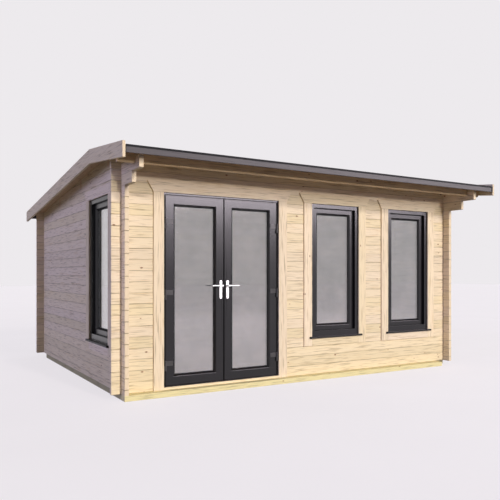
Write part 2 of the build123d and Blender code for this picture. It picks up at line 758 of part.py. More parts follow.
def door_pieces():
    """Frame, leaves, glass, hinges and levers of the pair of doors."""
    leaf, glass = left_leaf()
    flags, fixed = left_hinges()
    plates = [backplate(FRONT, -1), backplate(FRONT + LEAF_THICKNESS, 1)]
    lever = left_lever()
    left = {
        "leaf": [leaf],
        "leaf_glass": [glass],
        "leaf_flags": flags,
        "backplates": plates,
        "lever": [lever],
    }
    pieces = {
        "door_frame": door_frame(),
        "door_frame_hinges": fixed + [to_right_leaf(plate) for plate in fixed],
    }
    for name, solids in left.items():
        pieces["left_" + name] = solids
        pieces["right_" + name] = [to_right_leaf(solid) for solid in solids]
    return pieces


# Assembly

def all_pieces():
    """Every node by name, each a solid or a list of solids."""
    pieces = base_pieces()
    pieces.update(front_wall())
    pieces["back_wall"] = back_wall()

    plain_side = left_side_wall()
    pieces["right_wall"] = mirror_right(plain_side)
    side_opening = block(
        LEFT - 1, LEFT_INNER + 1,
        SIDE_WINDOW_START, SIDE_WINDOW_START + WINDOW_OPENING,
        SILL, OPENING_HEAD,
    )
    pieces["left_wall"] = plain_side - side_opening

    front_sets = [window_set(x) for x in WINDOW_STARTS]
    side_set = to_left_wall(window_set(0))
    for index, name in enumerate(("frames", "sashes", "glass", "sills")):
        pieces["front_window_" + name] = [window[index] for window in front_sets]
    for name, piece in zip(("frame", "sash", "glass", "sill"), side_set):
        pieces["side_window_" + name] = piece
    front_roof = under_roof(FRONT - TRIM_THICKNESS)
    pieces["front_window_trims"] = [board for x in WINDOW_STARTS for board in window_trims(x, front_roof)]
    pieces["side_window_trims"] = to_left_wall(window_trims(0, roof_over_side_trims()))
    pieces["door_trims"] = trim_boards(DOOR_LEFT, DOOR_RIGHT, BASE, False, front_roof)
    pieces.update(door_pieces())

    front_boards, rear_boards = roof_boards()
    pieces["front_purlin"] = front_purlin()
    pieces["roof_purlins"] = roof_purlins()
    pieces["roof_boards_front"] = front_boards
    pieces["roof_boards_rear"] = rear_boards
    pieces["roof_membrane"] = membrane()
    pieces["front_fascia"] = fascia(EAVES_FRONT, 1)
    pieces["rear_fascia"] = fascia(EAVES_REAR, -1)
    pieces["left_bargeboards"] = left_bargeboards()
    pieces["right_bargeboards"] = [mirror_right(board) for board in left_bargeboards()]
    return pieces


def write(name, solids):
    """Write one node's STEP file."""
    shapes = solids if isinstance(solids, list) else [solids]
    parts = [solid for shape in shapes for solid in shape.solids()]
    node = parts[0] if len(parts) == 1 else Compound(children=parts)
    export_step(node, os.path.join("parts", name + ".step"))


os.makedirs("parts", exist_ok=True)
for piece_name, piece in all_pieces().items():
    write(piece_name, piece)
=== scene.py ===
"""Garden office log cabin: finishes, boards, glazing, seals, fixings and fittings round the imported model.

Metres, +X right along the front, +Y to the back, +Z up, on the ground under the middle of the roof.
"""
import json
import math

import bpy
from bpy.props import FloatProperty, IntProperty, PointerProperty, StringProperty
from mathutils import Matrix, Vector


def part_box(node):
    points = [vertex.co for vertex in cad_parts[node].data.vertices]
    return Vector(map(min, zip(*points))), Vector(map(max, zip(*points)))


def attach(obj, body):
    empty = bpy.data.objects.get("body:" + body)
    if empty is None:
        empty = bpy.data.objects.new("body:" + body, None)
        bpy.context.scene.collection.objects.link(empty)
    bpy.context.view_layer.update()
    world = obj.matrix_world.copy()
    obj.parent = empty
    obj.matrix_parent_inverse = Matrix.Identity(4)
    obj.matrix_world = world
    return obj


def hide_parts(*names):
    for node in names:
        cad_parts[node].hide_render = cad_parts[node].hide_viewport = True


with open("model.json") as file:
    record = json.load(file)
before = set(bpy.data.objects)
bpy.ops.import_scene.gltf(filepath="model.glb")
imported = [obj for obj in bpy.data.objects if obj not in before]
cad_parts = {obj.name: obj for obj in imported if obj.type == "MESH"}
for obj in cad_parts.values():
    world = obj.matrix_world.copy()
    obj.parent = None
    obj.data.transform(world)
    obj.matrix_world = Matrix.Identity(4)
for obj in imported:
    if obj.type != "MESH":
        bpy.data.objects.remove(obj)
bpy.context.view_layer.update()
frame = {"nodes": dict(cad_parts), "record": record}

bl_info = {
    "name": "Log cabin",
    "version": (1, 0, 0),
    "blender": (4, 5, 0),
    "location": "View3D > Sidebar > Log cabin",
    "description": "Finishes and small pieces of a garden office log cabin",
    "category": "Object",
}

MM = 0.001
SLOTS = {row["node"]: row["material_slot"] for row in frame["record"]["subparts"]}

# Log courses: the side walls' joints lie half a log above those of the front and back
COURSE = 114 * MM
FRONT_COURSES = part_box("back_wall")[0].z
SIDE_COURSES = FRONT_COURSES + COURSE / 2

# Where the CAD's solids stand, and how far a pane's edge lies hidden in its frame
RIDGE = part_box("roof_boards_front")[1].y
DOOR_MIDDLE = (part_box("left_leaf")[1].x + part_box("right_leaf")[0].x) / 2
LEVER_HEIGHT = (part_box("left_lever")[0].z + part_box("left_lever")[1].z) / 2
GLASS_EDGE = 12 * MM

# The camera, worked out from the photograph's log joints
CAMERA_PLACE = (-4.302, -7.490, 1.276)
CAMERA_FORWARD = (0.5105, 0.8599)
CAMERA_LENS = 42.44
CAMERA_SHIFT = 0.0484
SENSOR_WIDTH = 36

# Suns: degrees to the right of straight in front, degrees of height, strength, softness in degrees, colour.
# The three in front differ in height, so that the shade under the eave ends softly.
SUNS = {
    "low_front": (8, 8, 1.05, 5, "#fff7ef"),
    "soft_front": (8, 19, 1.1, 14, "#fff7ef"),
    "high_front": (8, 26, 0.9, 3, "#fff7ef"),
    "left": (-88, 14, 1.45, 45, "#c4c6ff"),
    "right": (112, 35, 0.7, 22, "#f4f4ff"),
}
SOFTBOX_PLACE = (7.5, -13.0, 5.15)
SOFTBOX_AIM = (-0.3, -1.7, 1.5)
SOFTBOX_SIZE = (12, 2.2)
SOFTBOX_POWER = 2300
SOFTBOX_COLOUR = "#fff3fd"
SUN_DISTANCE = 12
FILL_STRENGTH = 0.07
FILL_COLOUR = "#f8e6de"
BACKDROP = "#edeaed"
FLOOR_SIZE = 120
FLOOR_TONES = ("#716f71", "#767476")
FLOOR_GLOW = 0.765
FLOOR_GLOW_COLOUR = "#f6f2f6"

# Rounding of small edges, and the play that keeps two fittings from lying in one plane
SEAL_EDGE = 1.2 * MM
THIN_EDGE = 0.8 * MM
PLAY = 0.3 * MM


class LogCabinSizes(bpy.types.PropertyGroup):
    """Sizes of the pieces that dress the cabin."""

    roof_boards: IntProperty(
        name="Roof boards", description="Boards along each slope", default=58, min=2)
    floor_boards: IntProperty(
        name="Floor boards", description="Boards across the floor", default=40, min=2)
    board_edge: FloatProperty(
        name="Board edge", description="How far a board's edges are softened",
        default=1.5 * MM, min=0, subtype="DISTANCE", unit="LENGTH")
    frame_edge: FloatProperty(
        name="Frame edge", description="How far the edges of frames and leaves are softened",
        default=1.8 * MM, min=0, subtype="DISTANCE", unit="LENGTH")
    pane: FloatProperty(
        name="Pane", description="Thickness of one sheet of glass",
        default=4 * MM, min=MM, subtype="DISTANCE", unit="LENGTH")
    spacer: FloatProperty(
        name="Spacer", description="Width of the bar between two panes",
        default=11 * MM, min=MM, subtype="DISTANCE", unit="LENGTH")
    seal: FloatProperty(
        name="Seal", description="Width of a glazing seal on the glass",
        default=5 * MM, min=MM, subtype="DISTANCE", unit="LENGTH")
    seal_stand: FloatProperty(
        name="Seal stand", description="How far a seal stands off the face that it lies on",
        default=2.5 * MM, min=MM / 2, subtype="DISTANCE", unit="LENGTH")
    screw: FloatProperty(
        name="Screw head", description="Diameter of a timber screw's head",
        default=8 * MM, min=2 * MM, subtype="DISTANCE", unit="LENGTH")
    screw_spacing: FloatProperty(
        name="Screw spacing", description="Distance between screws along a bargeboard",
        default=600 * MM, min=100 * MM, subtype="DISTANCE", unit="LENGTH")


class LogCabinColours(bpy.types.PropertyGroup):
    """Colours of the cabin's finishes, as sRGB hex."""

    spruce: StringProperty(name="Spruce", description="Pale early wood of the logs", default="#efdfc6")
    grain: StringProperty(name="Grain", description="Late wood lines of the logs", default="#d8be94")
    knot: StringProperty(name="Knot", description="Heart of a knot", default="#6b4426")
    frames: StringProperty(name="Frames", description="Foil on doors and windows", default="#131215")
    fascia: StringProperty(name="Fascia", description="Stain on the fascia boards", default="#58555c")
    bearer: StringProperty(name="Bearer", description="Treated softwood under the walls", default="#eadfb2")


# Editing by code

def deselect():
    """Select nothing, in object mode."""
    if bpy.context.object and bpy.context.object.mode != "OBJECT":
        bpy.ops.object.mode_set(mode="OBJECT")
    bpy.ops.object.select_all(action="DESELECT")


def only(piece):
    """Select one piece and make it active."""
    deselect()
    piece.select_set(True)
    bpy.context.view_layer.objects.active = piece


def cube(name, low, high):
    """A cube between two corners, named and placed in its mesh."""
    deselect()
    low, high = Vector(low), Vector(high)
    bpy.ops.mesh.primitive_cube_add(size=1, location=(low + high) / 2)
    piece = bpy.context.object
    piece.name = name
    piece.data.name = name
    piece.scale = high - low
    bpy.ops.object.transform_apply(location=True, rotation=True, scale=True)
    return piece


def cylinder(name, diameter, start, end, sides=24):
    """A closed cylinder between two points."""
    deselect()
    start, end = Vector(start), Vector(end)
    along = end - start
    bpy.ops.mesh.primitive_cylinder_add(
        vertices=sides, radius=diameter / 2, depth=along.length, location=(start + end) / 2,
        rotation=along.to_track_quat("Z", "Y").to_euler(),
    )
    piece = bpy.context.object
    piece.name = name
    piece.data.name = name
    bpy.ops.object.transform_apply(location=True, rotation=True, scale=True)
    return piece


def edit_faces(piece, test):
    """Enter edit mode with the faces that pass the test selected."""
    only(piece)
    bpy.ops.object.mode_set(mode="EDIT")
    bpy.ops.mesh.select_mode(type="FACE")
    bpy.ops.mesh.select_all(action="DESELECT")
    bpy.ops.object.mode_set(mode="OBJECT")
    for face in piece.data.polygons:
        face.select = test(face)
    bpy.ops.object.mode_set(mode="EDIT")


def leave_edit():
    """Back to object mode."""
    bpy.ops.object.mode_set(mode="OBJECT")


def lift_faces(piece, test, offset):
    """Move the faces that pass the test by an offset."""
    edit_faces(piece, test)
    bpy.ops.transform.translate(value=offset)
    leave_edit()


def recess_end(piece, toward, rim, depth):
    """Inset the face at one end of a piece, leaving a rim, and sink it."""
    toward = Vector(toward)
    edit_faces(piece, lambda face: face.normal.dot(toward) > 0.9)
    bpy.ops.mesh.inset(thickness=rim, use_even_offset=True)
    bpy.ops.transform.translate(value=toward * -depth)
    leave_edit()


def rounded(piece, width, segments=2, angle=30):
    """Bevel a piece's sharp edges."""
    only(piece)
    modifier = piece.modifiers.new("Rounding", "BEVEL")
    modifier.width = width
    modifier.segments = segments
    modifier.limit_method = "ANGLE"
    modifier.angle_limit = math.radians(angle)
    bpy.ops.object.modifier_apply(modifier=modifier.name)
    return piece


def copied(piece, offset):
    """A copy with its own mesh, moved by an offset."""
    twin = bpy.data.objects.new(piece.name, piece.data.copy())
    bpy.context.collection.objects.link(twin)
    twin.data.transform(Matrix.Translation(Vector(offset)))
    return twin


def joined(name, parts):
    """All the parts as one piece."""
    deselect()
    for part in parts:
        part.select_set(True)
    bpy.context.view_layer.objects.active = parts[0]
    if len(parts) > 1:
        bpy.ops.object.join()
    piece = bpy.context.object
    piece.name = name
    piece.data.name = name
    return piece


def coated(piece, material):
    """Give a piece one material."""
    piece.data.materials.clear()
    piece.data.materials.append(material)
    return piece


def fitted(piece, body, slot, *nodes):
    """Fix a piece to its body, and hide the nodes it stands for. slot is not used."""
    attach(piece, body)
    if nodes:
        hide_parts(*nodes)


def loose_solids(node):
    """New pieces with the shapes of a node's separate solids, their flat faces whole."""
    deselect()
    whole = bpy.data.objects.new(node, frame["nodes"][node].data.copy())
    bpy.context.collection.objects.link(whole)
    only(whole)
    bpy.ops.object.mode_set(mode="EDIT")
    bpy.ops.mesh.select_all(action="SELECT")
    bpy.ops.mesh.remove_doubles(threshold=0.01 * MM)
    bpy.ops.mesh.dissolve_limited(angle_limit=math.radians(1))
    bpy.ops.mesh.separate(type="LOOSE")
    leave_edit()
    solids = list(bpy.context.selected_objects)
    return sorted(solids, key=lambda solid: [round(value, 3) for value in span(solid)[0]])


def span(piece):
    """Lowest and highest corners of a piece."""
    points = [vertex.co for vertex in piece.data.vertices]
    low = Vector([min(point[n] for point in points) for n in range(3)])
    high = Vector([max(point[n] for point in points) for n in range(3)])
    return low, high


def solid_spans(node):
    """Corners of each of a node's separate solids."""
    solids = loose_solids(node)
    spans = [span(solid) for solid in solids]
    for solid in solids:
        bpy.data.objects.remove(solid)
    return spans


def thin_axis(low, high):
    """The axis across a flat box."""
    size = high - low
    return min(range(3), key=lambda n: size[n])


def slab(low, high, axis, start, end):
    """The part of a box between two distances from its low side along an axis."""
    first, last = low.copy(), high.copy()
    first[axis] = low[axis] + start
    last[axis] = low[axis] + end
    return first, last


def shrunk(low, high, axis, margin):
    """A flat box with its four edges brought in, but not its thickness."""
    inward = Vector([0 if n == axis else margin for n in range(3)])
    return low + inward, high - inward


def flat_ring(name, low, high, axis, width):
    """A rectangular ring of one width, thin along an axis."""
    bar = cube(name, low, high)
    edit_faces(bar, lambda face: abs(face.normal[axis]) > 0.9)
    bpy.ops.mesh.inset(thickness=width, use_even_offset=True)
    bpy.ops.mesh.bridge_edge_loops()
    leave_edit()
    return bar


# Materials

def linear(colour):
    """A colour written as sRGB hex, as Blender's linear values."""
    channels = [int(colour[n:n + 2], 16) / 255 for n in (1, 3, 5)]
    return [c / 12.92 if c <= 0.04045 else ((c + 0.055) / 1.055) ** 2.4 for c in channels] + [1.0]


def shaded(colour, share):
    """A hex colour made darker or lighter by a share of each channel."""
    channels = [min(255, round(int(colour[n:n + 2], 16) * share)) for n in (1, 3, 5)]
    return "#" + "".join(format(channel, "02x") for channel in channels)


def add(tree, kind, inputs=None, **settings):
    """Add a node with its settings, and set or link its inputs."""
    made = tree.nodes.new("ShaderNode" + kind)
    for name, value in settings.items():
        setattr(made, name, value)
    for name, value in (inputs or {}).items():
        socket = made.inputs[name]
        if isinstance(value, bpy.types.NodeSocket):
            tree.links.new(value, socket)
        else:
            socket.default_value = value
    return made


def new_material(name):
    """An empty material with its tree and shader, and its Object coordinates."""
    material = bpy.data.materials.new(name)
    material.use_nodes = True
    tree = material.node_tree
    tree.nodes.clear()
    shader = add(tree, "BsdfPrincipled")
    add(tree, "OutputMaterial", {"Surface": shader.outputs["BSDF"]})
    place = add(tree, "TexCoord").outputs["Object"]
    return material, tree, shader, place


def sum_of(tree, operation, *values):
    """The result of one sum on values or sockets."""
    return add(tree, "Math", dict(enumerate(values)), operation=operation).outputs[0]


def noise(tree, place, size, detail=2.0, roughness=0.5, distortion=0.0):
    """Noise whose features are about one size, in metres, on each axis."""
    sizes = size if isinstance(size, (list, tuple)) else [size] * 3
    spread = add(tree, "Mapping", {"Vector": place, "Scale": [1 / length for length in sizes]}).outputs[0]
    return add(tree, "TexNoise", {
        "Vector": spread, "Scale": 1.0, "Detail": detail, "Roughness": roughness, "Distortion": distortion,
    }).outputs[0]


def between(tree, value, low, high, start=0.0, end=1.0):
    """A value carried from one range to another, and held at its ends."""
    return add(tree, "MapRange", {
        "Value": value, "From Min": low, "From Max": high, "To Min": start, "To Max": end}).outputs[0]


def ramp(tree, value, stops):
    """Colours along a value."""
    made = add(tree, "ValToRGB", {"Fac": value})
    elements = made.color_ramp.elements
    while len(elements) < len(stops):
        elements.new(0.5)
    for element, (position, colour) in zip(elements, stops):
        element.position = position
        element.color = linear(colour)
    return made.outputs["Color"]


def mixed(tree, share, first, second, blend="MIX"):
    """Two colours mixed by a share."""
    made = add(tree, "Mix", data_type="RGBA", blend_type=blend)
    for socket, value in ((made.inputs[0], share), (made.inputs[6], first), (made.inputs[7], second)):
        if isinstance(value, bpy.types.NodeSocket):
            tree.links.new(value, socket)
        else:
            socket.default_value = value
    return made.outputs[2]


def bumped(tree, shader, height, strength, distance):
    """Relief on a shader from a height."""
    relief = add(tree, "Bump", {"Height": height, "Strength": strength, "Distance": distance}).outputs[0]
    tree.links.new(relief, shader.inputs["Normal"])


def board_number(tree, parts, boards):
    """A number for each log or board: by its height, by its place across, or from the board's attribute."""
    kind, first, width = boards
    if kind == "attribute":
        return add(tree, "Attribute", attribute_name="board").outputs["Fac"]
    past = sum_of(tree, "SUBTRACT", parts["XYZ".index(kind)], first)
    return sum_of(tree, "FLOOR", sum_of(tree, "DIVIDE", past, width))


def spruce_knots(tree, parts, along, own, heart, colour, share):
    """Knots on some cells of a grid: a dark heart in a paler ring, both drawn out along the grain. share is
    the chance that a cell has one. Each log or board moves the grid by its own number."""
    cell_length = 230 * MM
    cell_width = 120 * MM
    flat = [parts[n] for n in range(3) if n != along]
    crosswise = sum_of(tree, "DIVIDE", sum_of(tree, "ADD", flat[0], flat[1]), cell_width)
    lengthwise = sum_of(tree, "MULTIPLY_ADD", own, 9.0, sum_of(tree, "DIVIDE", parts[along], cell_length))
    grid = add(tree, "CombineXYZ", {0: lengthwise, 1: crosswise}).outputs[0]
    cells = add(tree, "TexVoronoi", {"Vector": grid, "Scale": 1.0}, voronoi_dimensions="2D")
    chance = add(tree, "SeparateColor", {0: cells.outputs["Color"]}).outputs[0]
    reach = between(tree, chance, 1 - share, 1.0, 0.02, 0.06)
    present = sum_of(tree, "GREATER_THAN", chance, 1 - share)
    past = sum_of(tree, "SUBTRACT", cells.outputs["Distance"], reach)
    ring = sum_of(tree, "MULTIPLY", between(tree, past, 0.0, 0.05, 0.35, 0.0), present)
    middle = sum_of(tree, "MULTIPLY", between(tree, past, -0.02, 0.012, 0.9, 0.0), present)
    colour = mixed(tree, ring, colour, linear(shaded(heart, 1.7)))
    return mixed(tree, middle, colour, linear(heart))


def timber(name, along, pale, grain, heart, boards, roughness=0.62, first_joint=None, knots=0.14):
    """Planed softwood. The grain runs along one axis: fine late wood lines, darker streaks and clouds, with
    knots, growth rings on the ends, and each log or board a little different. first_joint is the height of
    a log wall's first joint, and gives its joints their shade."""
    material, tree, shader, place = new_material(name)
    shader.inputs["Specular IOR Level"].default_value = 0.28
    parts = add(tree, "SeparateXYZ", {0: place}).outputs
    axis = "XYZ".index(along)
    number = board_number(tree, parts, boards)
    own = add(tree, "TexWhiteNoise", {"W": number}, noise_dimensions="1D").outputs["Value"]
    shift = add(tree, "CombineXYZ", {0: sum_of(tree, "MULTIPLY", own, 31.0), 1: own, 2: own}).outputs[0]
    moved = add(tree, "VectorMath", {0: place, 1: shift}, operation="ADD").outputs[0]

    def drawn(across, length):
        return [length if n == axis else across for n in range(3)]

    # Late wood lines 5 mm wide, clouds 30 mm wide, and streaks 9 mm wide and 240 mm long
    lines = noise(tree, moved, drawn(5 * MM, 260 * MM), 5.0, 0.6)
    clouds = noise(tree, moved, drawn(30 * MM, 420 * MM), 2.0, 0.5, 0.6)
    streaks = noise(tree, moved, drawn(9 * MM, 240 * MM), 2.0)
    fine = sum_of(tree, "MULTIPLY", lines, 0.55)
    broad = sum_of(tree, "MULTIPLY", clouds, 0.45)
    tone = sum_of(tree, "ADD", fine, broad)
    colour = ramp(tree, tone, ((0.30, grain), (0.46, pale), (0.60, pale), (0.76, grain)))
    streaked = between(tree, streaks, 0.54, 0.70, 0.0, 0.72)
    colour = mixed(tree, streaked, colour, linear(shaded(grain, 0.77)))

    # Each log or board is a little lighter or darker than the next, and a little yellower or bluer
    tint = between(tree, own, 0.0, 1.0, 0.93, 1.03)
    second_number = sum_of(tree, "FRACT", sum_of(tree, "MULTIPLY", own, 7.0))
    blue = sum_of(tree, "MULTIPLY", tint, between(tree, second_number, 0.0, 1.0, 0.9, 1.03))
    cast = add(tree, "CombineColor", {0: tint, 1: tint, 2: blue}).outputs[0]
    colour = mixed(tree, 1.0, colour, cast, "MULTIPLY")
    colour = spruce_knots(tree, parts, axis, own, heart, colour, knots)

    # Growth rings on sawn ends
    facing = add(tree, "SeparateXYZ", {0: add(tree, "NewGeometry").outputs["Normal"]}).outputs[axis]
    is_end = sum_of(tree, "GREATER_THAN", sum_of(tree, "ABSOLUTE", facing), 0.7)
    centred = add(tree, "Mapping", {"Vector": moved, "Scale": [1 / (40 * MM)] * 3}).outputs[0]
    rings = add(tree, "TexWave", {
        "Vector": centred, "Scale": 1.0, "Distortion": 1.6, "Detail": 2.0, "Detail Scale": 0.6,
    }, wave_type="RINGS", rings_direction=along).outputs["Fac"]
    end = ramp(tree, rings, ((0.0, shaded(pale, 1.03)), (0.7, pale), (1.0, grain)))
    colour = mixed(tree, is_end, colour, end)

    if first_joint:
        # Shade and dust in the joints, uneven along the logs and full in the grooves of their ends
        above = sum_of(tree, "SUBTRACT", parts["Z"], first_joint - COURSE)
        rise = sum_of(tree, "FRACT", sum_of(tree, "DIVIDE", above, COURSE))
        near = sum_of(tree, "MINIMUM", rise, sum_of(tree, "SUBTRACT", 1.0, rise))
        uneven = noise(tree, moved, drawn(200 * MM, 240 * MM), 3.0)
        depth = sum_of(tree, "MAXIMUM", between(tree, uneven, 0.35, 0.65, 0.05, 0.6), is_end)
        seam = between(tree, near, 3.0 * MM / COURSE, 5.0 * MM / COURSE, 1.0, 0.0)
        colour = mixed(tree, sum_of(tree, "MULTIPLY", seam, depth), colour, linear(shaded(grain, 0.55)))

    tree.links.new(colour, shader.inputs["Base Color"])
    bumped(tree, shader, tone, 0.18, 0.6 * MM)
    sheen = between(tree, tone, 0.0, 1.0, roughness - 0.08, roughness + 0.1)
    tree.links.new(sheen, shader.inputs["Roughness"])
    return material


def rubber_sheet(name, dark, light):
    """EPDM rubber: a calendered matt sheet with dust, faint creases and a slightly uneven sheen."""
    material, tree, shader, place = new_material(name)
    shader.inputs["Specular IOR Level"].default_value = 0.15
    dust = noise(tree, place, 420 * MM, 6.0, 0.65)
    colour = ramp(tree, dust, ((0.35, dark), (0.55, shaded(dark, 1.4)), (0.75, light)))
    tree.links.new(colour, shader.inputs["Base Color"])
    weave = noise(tree, place, 3 * MM)
    creases = noise(tree, place, 900 * MM, 2.0, 0.5, 1.4)
    bumped(tree, shader, sum_of(tree, "MULTIPLY_ADD", creases, 6.0, weave), 0.25, 1.2 * MM)
    tree.links.new(between(tree, dust, 0.0, 1.0, 0.55, 0.8), shader.inputs["Roughness"])
    return material


def foiled_pvc(colour):
    """Foil on moulded PVC: an even dark grey with a fine embossed grain and a satin gloss."""
    material, tree, shader, place = new_material("Foiled PVC")
    shader.inputs["Specular IOR Level"].default_value = 0.42
    emboss = noise(tree, place, 1.6 * MM)
    patches = noise(tree, place, 240 * MM, 3.0)
    even = ramp(tree, patches, ((0.3, shaded(colour, 0.94)), (0.7, shaded(colour, 1.08))))
    tree.links.new(even, shader.inputs["Base Color"])
    bumped(tree, shader, emboss, 0.1, 0.2 * MM)
    tree.links.new(between(tree, patches, 0.0, 1.0, 0.21, 0.27), shader.inputs["Roughness"])
    return material


def powder_coat(name, colour, roughness):
    """Powder coated metal: a fine orange peel under an even satin colour."""
    material, tree, shader, place = new_material(name)
    shader.inputs["Specular IOR Level"].default_value = 0.3
    peel = noise(tree, place, 2.2 * MM, 1.0)
    wear = noise(tree, place, 120 * MM, 4.0)
    coat = ramp(tree, wear, ((0.3, colour), (0.7, shaded(colour, 1.3))))
    tree.links.new(coat, shader.inputs["Base Color"])
    bumped(tree, shader, peel, 0.15, 0.2 * MM)
    gloss = between(tree, wear, 0.0, 1.0, roughness - 0.05, roughness + 0.05)
    tree.links.new(gloss, shader.inputs["Roughness"])
    return material


def brushed_metal(name, dark, light, roughness, line=1.2 * MM):
    """Bare metal brushed along the piece, which breaks up the highlight into fine lines."""
    material, tree, shader, place = new_material(name)
    shader.inputs["Metallic"].default_value = 1.0
    brushing = noise(tree, place, [40 * MM, line, line], 3.0)
    tree.links.new(ramp(tree, brushing, ((0.3, dark), (0.7, light))), shader.inputs["Base Color"])
    bumped(tree, shader, brushing, 0.08, 0.1 * MM)
    lined = between(tree, brushing, 0.0, 1.0, roughness, roughness + 0.14)
    tree.links.new(lined, shader.inputs["Roughness"])
    return material


def coated_glass():
    """Float glass with a metal oxide coating, whose reflection is about three times that of plain glass, so
    its IOR is set higher, and a thin uneven film of dust."""
    material, tree, shader, place = new_material("Coated float glass")
    shader.inputs["Transmission Weight"].default_value = 1.0
    shader.inputs["IOR"].default_value = 2.1
    shader.inputs["Coat Weight"].default_value = 1.0
    shader.inputs["Coat IOR"].default_value = 1.5
    shader.inputs["Coat Roughness"].default_value = 0.02
    shader.inputs["Specular Tint"].default_value = linear("#fff6f0")
    film = noise(tree, place, 300 * MM, 5.0)
    tree.links.new(ramp(tree, film, ((0.3, "#f1f3f4"), (0.7, "#fbfbfc"))), shader.inputs["Base Color"])
    tree.links.new(between(tree, film, 0.0, 1.0, 0.02, 0.07), shader.inputs["Roughness"])
    return material


MATERIALS = {}


def make_materials(colours):
    """Every finish of the cabin, by name. A run of boards is an axis, its start and a board's width."""
    pale, grain, heart = colours.spruce, colours.grain, colours.knot
    clear = shaded(pale, 1.02)
    purlin_pale, purlin_grain = "#e0c6a6", "#c49f78"
    roof_pale, roof_grain = "#dcc09f", "#c09a73"
    roof_low, roof_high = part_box("roof_boards_front")
    floor_low, floor_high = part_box("floor_boards")
    sizes = bpy.context.scene.log_cabin_sizes
    front_logs = ("Z", FRONT_COURSES, COURSE)
    side_logs = ("Z", SIDE_COURSES, COURSE)
    roof_run = ("X", roof_low.x, (roof_high.x - roof_low.x) / sizes.roof_boards)
    floor_run = ("Y", floor_low.y, (floor_high.y - floor_low.y) / sizes.floor_boards)
    each = ("attribute", None, None)
    by_metre = ("Y", -4, 1.0)
    by_half_metre = ("X", -4, 0.5)
    by_slope = ("Y", RIDGE - 8, 8)
    bearer, bearer_grain, fascia = colours.bearer, shaded(colours.bearer, 0.88), colours.fascia
    # The side and rear bearers and the floor joists get the bearer's colours darkened to 0.76: painted
    # shade, as the side bearers stand in the shade
    side_bearer_painted_shade, side_bearer_grain_painted_shade = shaded(bearer, 0.76), shaded(bearer_grain, 0.76)
    MATERIALS.update({
        "logs_x": timber("Spruce logs, front and back", "X", pale, grain, heart, front_logs,
                         first_joint=FRONT_COURSES),
        "logs_y": timber("Spruce logs, sides", "Y", pale, grain, heart, side_logs,
                         first_joint=SIDE_COURSES),
        "purlin": timber("Spruce purlins", "X", purlin_pale, purlin_grain, heart, by_metre),
        "trim_x": timber("Spruce trim boards, level", "X", clear, grain, heart, each, knots=0.08),
        "trim_y": timber("Spruce trim boards, level, side", "Y", clear, grain, heart, each, knots=0.08),
        "trim_z": timber("Spruce trim boards, upright", "Z", clear, grain, heart, each, knots=0.08),
        "barge": timber("Spruce bargeboards", "Y", pale, grain, heart, by_slope),
        "roof": timber("Spruce roof boards", "Y", roof_pale, roof_grain, heart, roof_run),
        "floor": timber("Spruce floor boards", "X", shaded(pale, 0.96), grain, heart, floor_run),
        "bearer_x": timber("Treated softwood, front", "X", bearer, bearer_grain, heart, by_metre, 0.7),
        "bearer_y_painted_shade": timber("Treated softwood, sides, painted shade", "Y", side_bearer_painted_shade, side_bearer_grain_painted_shade, heart,
                           by_half_metre, 0.7),
        "fascia": timber("Grey stained softwood", "X", fascia, shaded(fascia, 0.86), shaded(fascia, 0.6),
                         by_metre, 0.5, knots=0.05),
        "membrane": rubber_sheet("EPDM roof membrane", "#1b1b1d", "#39383a"),
        "seal": rubber_sheet("EPDM seal", "#060606", "#0f0f10"),
        "pvc": foiled_pvc(colours.frames),
        "sill": powder_coat("Powder coated aluminium", "#080809", 0.42),
        "hinge": powder_coat("Powder coated zinc", "#3d3c3e", 0.3),
        "steel": brushed_metal("Satin stainless steel", "#e6e5e3", "#f3f2f0", 0.25),
        "spacer": brushed_metal("Anodised aluminium", "#8d8e8f", "#a5a6a7", 0.38),
        "screws": brushed_metal("Zinc plated screws", "#a8a49a", "#bdb9ae", 0.4, 0.8 * MM),
        "glass": coated_glass(),
    })


NODE_FINISHES = {
    "front_bearer": "bearer_x",
    "side_and_rear_bearers": "bearer_y_painted_shade",
    "floor_joists": "bearer_y_painted_shade",
    "right_wall": "logs_y",
    "left_wall": "logs_y",
    "front_purlin": "purlin",
    "roof_purlins": "purlin",
    "front_fascia": "fascia",
    "rear_fascia": "fascia",
    "left_bargeboards": "barge",
    "right_bargeboards": "barge",
}
SLOT_FINISHES = {
    "log_timber": "logs_x",
    "trim_timber": "trim_z",
    "bearer_timber": "bearer_y_painted_shade",
    "floor_timber": "floor",
    "roof_timber": "roof",
    "membrane": "membrane",
    "fascia_paint": "fascia",
    "window_frame": "pvc",
    "sill_metal": "sill",
    "hinge_metal": "hinge",
    "lever_metal": "steel",
    "glass": "glass",
}
SOFTENED_NODES = (
    "front_bearer", "side_and_rear_bearers", "front_purlin", "left_bargeboards", "right_bargeboards",
    "front_fascia", "rear_fascia", "door_frame", "left_leaf", "right_leaf", "front_window_frames",
    "front_window_sashes", "side_window_frame", "side_window_sash", "front_window_sills",
    "side_window_sill", "left_backplates", "right_backplates",
)


def finish_nodes(sizes):
    """Give every node of the frame its finish, and soften the edges that catch the light."""
    for name, node in frame["nodes"].items():
        finish = NODE_FINISHES.get(name) or SLOT_FINISHES[SLOTS[name]]
        if not node.material_slots:
            node.data.materials.append(None)
        for place in node.material_slots:
            place.material = MATERIALS[finish]
    for name in SOFTENED_NODES:
        node = frame["nodes"][name]
        node.modifiers.new("Merge", "WELD").merge_threshold = 0.01 * MM
        edge = node.modifiers.new("Soft edges", "BEVEL")
        edge.width = sizes.frame_edge
        edge.segments = 2
        edge.limit_method = "ANGLE"
        edge.angle_limit = math.radians(35)


# Boards

def board_run(name, first_low, first_high, step, count, rise, edge):
    """Like boards side by side, each with softened edges. rise lifts the far end of a sloping board."""
    board = cube(name, first_low, first_high)
    if rise:
        far = first_high[1]
        lift_faces(board, lambda face: abs(face.center.y - far) < MM, (0, 0, rise))
    rounded(board, edge, 1)
    copies = [copied(board, (step[0] * n, step[1] * n, 0)) for n in range(1, count)]
    return joined(name, [board, *copies])


